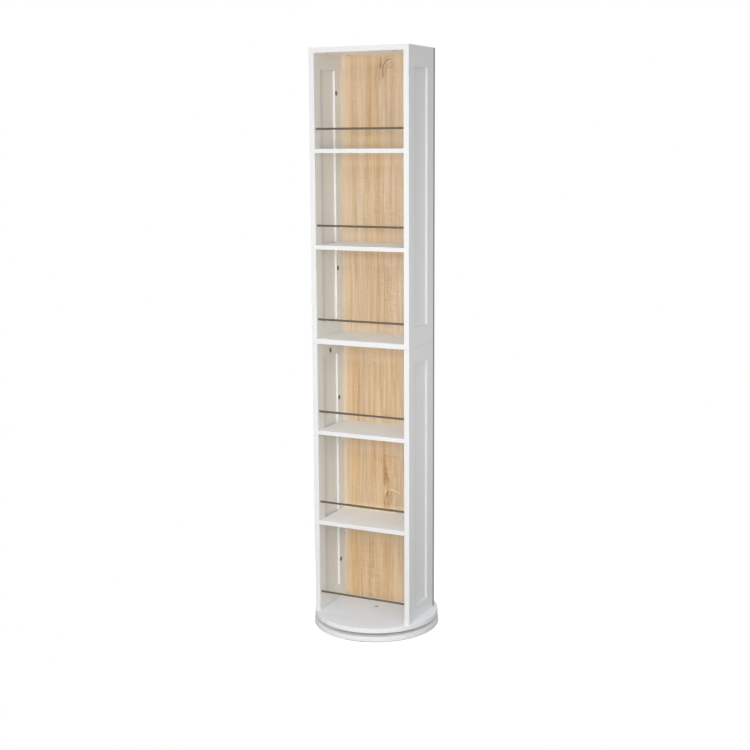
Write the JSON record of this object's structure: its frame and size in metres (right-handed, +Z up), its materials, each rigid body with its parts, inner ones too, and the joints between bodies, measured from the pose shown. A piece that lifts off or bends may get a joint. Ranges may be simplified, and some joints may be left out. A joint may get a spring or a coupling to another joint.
{
  "type": "revolving shelf cabinet with mirror back",
  "caption": "Tall narrow white cabinet with open shelves, guard rods, an oak-look back and mirrors behind, turning all the way round on a disc-shaped base.",
  "frame": {"origin": "on the floor, on the axis of rotation, which is the centre of the round base", "axes": "+Z up along the axis of rotation, -Y out of the open shelf front, +Y out of the mirror side, +X to the right of somebody facing the shelves"},
  "size_m": [0.3749, 0.375, 1.703],
  "materials": {
    "white_board": "white foil with a faint wood grain, satin",
    "oak_decor": "sawn light oak decor, satin",
    "dark_board": "dark grey foil and edge band, matt",
    "mirror_glass": "silvered, polished edge",
    "rod_steel": "dark nickel, satin",
    "cam_zinc": "raw zinc die casting",
    "fastener_steel": "zinc plated",
    "bearing_steel": "zinc plated pressed sheet",
    "ball_steel": "polished",
    "nylon": "moulded",
    "cap_plastic": "moulded, satin",
    "felt": "pressed felt",
    "beech": "fluted dowel"
  },
  "bodies": {
    "base": {"base_disc": "white_board", "floor_glides": "felt", "bearing_lower_plate": "bearing_steel", "bearing_lower_screws": "fastener_steel", "pivot_bolt": "fastener_steel", "pivot_nut": "fastener_steel", "pivot_washer": "fastener_steel"},
    "ball_ring": {"ball_cage": "nylon", "bearing_balls": "ball_steel"},
    "cabinet": {"back_panel_lower": "oak_decor", "back_panel_upper": "oak_decor", "bearing_upper_plate": "bearing_steel", "bearing_upper_screws": "fastener_steel", "cam_bolts": "fastener_steel", "cam_locks": "cam_zinc", "dowels": "beech", "guard_rod_1": "rod_steel", "guard_rod_2": "rod_steel", "guard_rod_3": "rod_steel", "guard_rod_4": "rod_steel", "guard_rod_5": "rod_steel", "guard_rod_6": "rod_steel", "left_lower_bottom_rail": "white_board", "left_lower_front_stile": "white_board", "left_lower_infill": "white_board", "left_lower_rear_stile": "white_board", "left_lower_top_rail": "white_board", "left_upper_bottom_rail": "white_board", "left_upper_front_stile": "white_board", "left_upper_infill": "white_board", "left_upper_rear_stile": "white_board", "left_upper_top_rail": "white_board", "middle_shelf": "white_board", "mirror_lower": "mirror_glass", "mirror_upper": "mirror_glass", "pivot_bush": "nylon", "pivot_cap": "cap_plastic", "rear_board_lower": "dark_board", "rear_board_upper": "dark_board", "right_lower_bottom_rail": "white_board", "right_lower_front_stile": "white_board", "right_lower_infill": "white_board", "right_lower_rear_stile": "white_board", "right_lower_top_rail": "white_board", "right_upper_bottom_rail": "white_board", "right_upper_front_stile": "white_board", "right_upper_infill": "white_board", "right_upper_rear_stile": "white_board", "right_upper_top_rail": "white_board", "shelf_lower_1": "white_board", "shelf_lower_2": "white_board", "shelf_upper_1": "white_board", "shelf_upper_2": "white_board", "side_screws": "fastener_steel", "top_board": "white_board", "turntable_disc": "white_board"}
  },
  "joints": [
    {"name": "turntable", "type": "hinge", "parent": "base", "child": "cabinet", "pos_m": [0, 0, 0.0215], "axis": [0, 0, 1], "continuous": true},
    {"name": "ball_ring_turn", "type": "hinge", "parent": "base", "child": "ball_ring", "pos_m": [0, 0, 0.0215], "axis": [0, 0, 1], "continuous": true}
  ],
  "couplings": [
    {"joint": "ball_ring_turn", "follows": "turntable", "ratio": 0.5}
  ]
}
